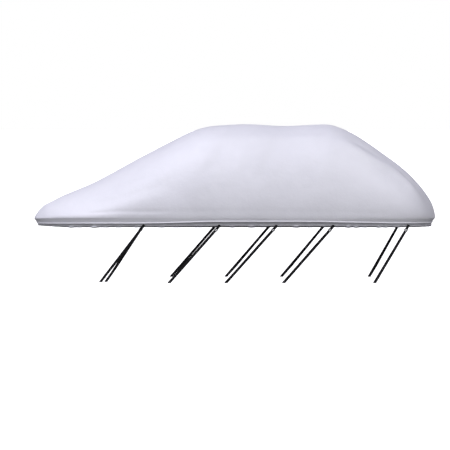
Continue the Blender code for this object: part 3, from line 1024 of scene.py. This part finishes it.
def makeBuckle(name, hang, finish):
    width, height, depth = buckle["size"]
    rim = buckle["roundness"]
    plan = bpy.data.curves.new(name, "CURVE")
    plan.dimensions = "2D"
    plan.fill_mode = "BOTH"
    plan.extrude = depth / 2 - rim
    plan.bevel_depth = rim
    plan.bevel_resolution = buckle["rimSteps"]
    plan.offset = -rim
    outlines = [roundedOutline(width, height, 0, buckle["corner"])]
    for middle in (buckle["slotOffset"], -buckle["slotOffset"]):
        outlines.append(roundedOutline(*buckle["slot"], middle, buckle["slotCorner"]))
    for points in outlines:
        spline = plan.splines.new("POLY")
        spline.points.add(len(points) - 1)
        for spot, point in zip(spline.points, points):
            spot.co = (*point, 0, 1)
        spline.use_cyclic_u = True
    data = takeMesh(name, newObject(name, plan))
    data.transform(buckleMatrix(hang))
    mesh = bmesh.new()
    mesh.from_mesh(data)
    bmesh.ops.remove_doubles(mesh, verts=mesh.verts, dist=buckle["weld"])
    bmesh.ops.recalc_face_normals(mesh, faces=mesh.faces)
    mesh.to_mesh(data)
    mesh.free()
    data.shade_smooth()
    data.set_sharp_from_angle(angle=math.radians(buckle["sharpAngle"]))
    return newPiece(name, data, finish)


def makeGuide(name, lines, closed, outwards=None):
    # polylines for a tree to follow
    points = []
    edges = []
    for line in lines:
        start = len(points)
        points += [tuple(point) for point in line]
        edges += [(start + k, start + k + 1) for k in range(len(line) - 1)]
        if closed:
            edges.append((start + len(line) - 1, start))
    data = bpy.data.meshes.new(name)
    data.from_pydata(points, edges, [])
    if outwards:
        layer = data.attributes.new("outwards", "FLOAT_VECTOR", "POINT")
        for spot, direction in zip(layer.data, outwards):
            spot.vector = direction
    return newObject(name, data)


def makeTeeth(finish):
    # small ridges on every buckle's middle bar, which grip the webbing
    width, tall, deep = buckle["toothSize"]
    growth = Growth("gripTeeth", {
        "spacing": buckle["toothSpacing"], "toothWidth": width, "toothLength": tall,
        "toothHeight": deep, "finish": finish,
    })
    dots = growth.alongLines("spacing")
    measures = [growth.given(label) for label in ("toothWidth", "toothLength", "toothHeight")]
    size = growth.add("ShaderNodeCombineXYZ", None, measures)
    tooth = growth.add("GeometryNodeMeshCube", None, {"Size": size})
    vectors = {"data_type": "FLOAT_VECTOR"}
    facing = growth.add("GeometryNodeInputNamedAttribute", vectors, {"Name": "outwards"})
    tangent = growth.add("GeometryNodeInputTangent")
    axes = {"primary_axis": "Z", "secondary_axis": "X"}
    growth.plant(dots, tooth, growth.add("FunctionNodeAxesToRotation", axes, [facing, tangent]))

    lines = []
    outwards = []
    reach = buckle["slot"][0] / 2 - buckle["toothSpacing"]
    lift = buckle["size"][2] / 2 + deep * buckle["toothProud"]
    for hang in hangs.values():
        place = buckleMatrix(hang)
        lines.append([place @ Vector((-reach, 0, lift)), place @ Vector((reach, 0, lift))])
        outwards += [hang["out"], hang["out"]]
    return growth.grow("buckleTeeth", makeGuide("teethLines", lines, False, outwards))


# stitching

stitch = {
    "threadSides": 6,
    "hemPitch": 0.0085,
    "hemLength": 0.0062,
    "hemThick": 0.00055,            # radius of the thread
    "hemProud": 0.5,                # share of it by which the thread's middle lies off the cloth
    "hemRows": (10, 12),            # the finer rows, from the top, that the seams follow
    "tabPitch": 0.0032,
    "tabLength": 0.0025,
    "tabThick": 0.00035,
    "tabProud": 0.4,
    "tabBox": (0.022, 0.024),       # the boxed cross that holds a tab
}


def makeStitches(seam, lines, closed, finish):
    # seam is hem or tab
    growth = Growth(f"{seam}Stitches", {
        "pitch": stitch[f"{seam}Pitch"], "length": stitch[f"{seam}Length"],
        "thickness": stitch[f"{seam}Thick"], "finish": finish,
    })
    dots = growth.alongLines("pitch")
    thread = growth.add("GeometryNodeMeshCylinder", None, {
        "Vertices": stitch["threadSides"], "Radius": growth.given("thickness"),
        "Depth": growth.given("length"),
    })
    tangent = growth.add("GeometryNodeInputTangent")
    turned = growth.add("FunctionNodeAlignRotationToVector", {"axis": "Z"}, {"Vector": tangent})
    growth.plant(dots, thread, turned)
    return growth.grow(f"{seam}Stitches", makeGuide(f"{seam}Lines", lines, closed))


def hemSeams(hem):
    # two lines round the hem, on its outer face
    lines = []
    for row in stitch["hemRows"]:
        line = []
        count = len(hem[row])
        for k, point in enumerate(hem[row]):
            along = hem[row][(k + 1) % count] - hem[row][k - 1]
            rise = hem[row - 1][k] - hem[row + 1][k]
            out = along.cross(rise).normalized()
            if out.dot(point - Vector((shape["length"] / 2, 0, point.z))) < 0:
                out = -out
            line.append(placed(point + out * stitch["hemThick"] * stitch["hemProud"]))
        lines.append(line)
    return lines


def tabSeams(hang):
    # a box with its two diagonals on the tab's outer layer
    _, spot, slanted = tabRows(hang)
    middle, half = spot((webbing["tabTop"] + webbing["hemLow"]) / 2, 1)
    width, height = stitch["tabBox"]
    lift = hang["normal"] * (webbing["thick"] / 2 + stitch["tabThick"] * stitch["tabProud"])
    across = half.normalized() * width / 2
    up = slanted * height / 2

    def at(right, high):
        return placed(middle + lift + across * right + up * high)

    box = [at(-1, -1), at(1, -1), at(1, 1), at(-1, 1), at(-1, -1)]
    return [box, [at(-1, -1), at(1, 1)], [at(1, -1), at(-1, 1)]]


# making

clothLook = clothFinish()
webbingLook = webbingFinish()
plasticLook = plasticFinish()
paleThread = threadFinish("pale thread", (0.36, 0.36, 0.42), (0.55, 0.55, 0.62))
darkThread = threadFinish("dark thread", (0.010, 0.010, 0.012), (0.035, 0.035, 0.040))

coverPiece, hemPoints = makeCoverCloth(clothLook)
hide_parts("cover")
print("cover cloth made,", len(coverPiece.data.polygons), "faces")

straps = []
for label, hang in hangs.items():
    tab = makeBand(f"tabWebbing_{label}", tabRows(hang)[0], False, webbingLook)
    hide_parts(f"tab_{label}")
    strap = makeBand(f"strapWebbing_{label}", strapRows(hang), True, webbingLook)
    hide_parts(f"strap_{label}")
    frameOfBuckle = makeBuckle(f"buckleFrame_{label}", hang, plasticLook)
    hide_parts(f"buckle_{label}")
    straps += [tab, strap, frameOfBuckle]
print("straps, tabs and buckles made,", len(straps), "pieces")

teeth = makeTeeth(plasticLook)
hemStitches = makeStitches("hem", hemSeams(hemPoints), True, paleThread)
tabLines = [line for hang in hangs.values() for line in tabSeams(hang)]
tabStitches = makeStitches("tab", tabLines, False, darkThread)
print("stitches made,", len(hemStitches.data.polygons) + len(tabStitches.data.polygons), "faces")

pieces = [coverPiece, *straps, teeth, hemStitches, tabStitches]
for piece in pieces:
    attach(piece, "root")
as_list(pieces[1:])


# stage, light and camera

studio = {
    "floorHeight": -2.22,
    "floorReach": 400.0,
    "floorTone": 0.50,
    "floorGlow": 0.93,
    # where each lamp shines from, how wide it is in degrees, its strength and its tint
    "lamps": {
        "bowLamp": ((-0.55, -0.38, 0.74), 32.0, 1.18, (0.97, 0.97, 1.05)),
        "highLamp": ((-0.35, -0.15, 0.92), 32.0, 1.00, (0.97, 0.97, 1.06)),
        "sternLamp": ((0.46, -0.40, 0.80), 32.0, 1.16, (1.0, 1.0, 0.99)),
        "frontLamp": ((0.0, -0.94, 0.34), 32.0, 0.46, (1.0, 1.0, 0.95)),
        "rearLamp": ((-0.54, 0.42, 0.73), 36.0, 0.40, (0.96, 0.96, 1.08)),
    },
    "skyHigh": (0.130, 0.123, 0.185),
    "skyLow": (0.18, 0.18, 0.185),
    "horizon": (1.0, 1.0, 1.0),
    "horizonFade": (0.045, 0.110),
    "horizonFall": (-0.035, -0.080),
    "target": (-0.1004, 0.0, -1.139),
    "distance": 38.0,
    "clip": 2000.0,
    "cameraDown": 1.93,             # degrees
    "lens": 267.0,
}


def makeFloor():
    finish = Finish("pale floor", {
        "Base Color": (studio["floorTone"],) * 3 + (1,), "Roughness": 0.9, "Specular IOR Level": 0.1,
        "Emission Color": (1, 1, 1, 1), "Emission Strength": studio["floorGlow"],
    })
    reach = studio["floorReach"]
    data = bpy.data.meshes.new("floor")
    corners = [(-reach, -reach), (reach, -reach), (reach, reach), (-reach, reach)]
    data.from_pydata([(*corner, studio["floorHeight"]) for corner in corners], [], [(0, 1, 2, 3)])
    floor = newPiece("floor", data, finish.data)
    floor.visible_diffuse = False    # no light comes up from it, so the skirt stays dark
    floor.visible_glossy = False


def makeSky():
    world = bpy.data.worlds.new("studio")
    bpy.context.scene.world = world
    world.use_nodes = True
    sky = Nodes(world.node_tree)
    around = sky.add("ShaderNodeTexCoord", output="Generated")
    upwards = sky.add("ShaderNodeSeparateXYZ", None, [around], output=2)
    high = upwards.between(*studio["horizonFade"])
    low = upwards.between(*studio["horizonFall"])
    colour = sky.mix(high, (*studio["horizon"], 1), (*studio["skyHigh"], 1))
    colour = sky.mix(low, colour, (*studio["skyLow"], 1))
    sky.feed(world.node_tree.nodes["Background"].inputs["Color"], colour)


def makeSun(name, source, softness, strength, tint):
    light = bpy.data.lights.new(name, "SUN")
    light.energy = strength
    light.color = tint
    light.angle = math.radians(softness)
    newObject(name, light).rotation_euler = Vector(source).to_track_quat("Z", "Y").to_euler()


def makeCamera():
    data = bpy.data.cameras.new("camera")
    data.lens = studio["lens"]
    data.clip_end = studio["clip"]
    camera = newObject("camera", data)
    pitch = math.radians(studio["cameraDown"])
    back = Vector((0, -math.cos(pitch), math.sin(pitch)))
    camera.location = Vector(studio["target"]) + back * studio["distance"]
    camera.rotation_euler = back.to_track_quat("Z", "Y").to_euler()
    bpy.context.scene.camera = camera


makeFloor()
makeSky()
for name, settings in studio["lamps"].items():
    makeSun(name, *settings)
makeCamera()
bpy.context.scene.view_settings.view_transform = "Standard"
print("stage, lights and camera set")
